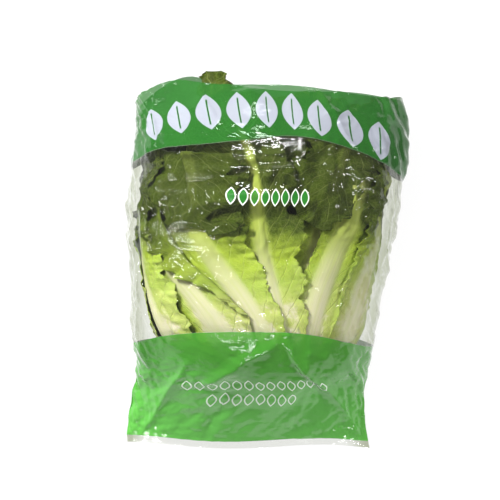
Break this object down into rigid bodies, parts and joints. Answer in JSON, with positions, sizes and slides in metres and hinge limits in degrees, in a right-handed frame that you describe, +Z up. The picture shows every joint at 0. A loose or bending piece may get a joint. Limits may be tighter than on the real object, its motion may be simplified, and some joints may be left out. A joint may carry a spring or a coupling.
{
  "type": "head of chicory in a bag",
  "caption": "Cut head of broad-leaved chicory with jagged leaves and pale ribs, lying in a clear printed film bag that is open at the leaf tips.",
  "frame": {"origin": "under the middle of the whole, on the surface that it lies on", "axes": "+Y from the cut end to the leaf tips and the bag's open mouth, +Z up, +X to the right when the head is seen from above with its tips away from the viewer"},
  "size_m": [0.2796, 0.3756, 0.1276],
  "materials": {
    "leaf": "satin leaf, green with cream ribs",
    "stem": "matte cut stem",
    "film": "clear film with two green printed bands"
  },
  "bodies": {
    "root": {"crown": "stem", "leaf_outer_01": "leaf", "leaf_outer_02": "leaf", "leaf_outer_03": "leaf", "leaf_outer_04": "leaf", "leaf_outer_05": "leaf", "leaf_outer_06": "leaf", "leaf_outer_07": "leaf", "leaf_outer_08": "leaf", "leaf_outer_09": "leaf", "leaf_outer_10": "leaf", "leaf_outer_11": "leaf", "leaf_outer_12": "leaf", "leaf_middle_01": "leaf", "leaf_middle_02": "leaf", "leaf_middle_03": "leaf", "leaf_middle_04": "leaf", "leaf_middle_05": "leaf", "leaf_middle_06": "leaf", "leaf_middle_07": "leaf", "leaf_middle_08": "leaf", "leaf_inner_01": "leaf", "leaf_inner_02": "leaf", "leaf_inner_03": "leaf", "leaf_inner_04": "leaf", "leaf_inner_05": "leaf", "leaf_inner_06": "leaf", "leaf_heart_01": "leaf", "leaf_heart_02": "leaf", "leaf_heart_03": "leaf", "leaf_heart_04": "leaf", "bag": "film"}
  },
  "joints": []
}
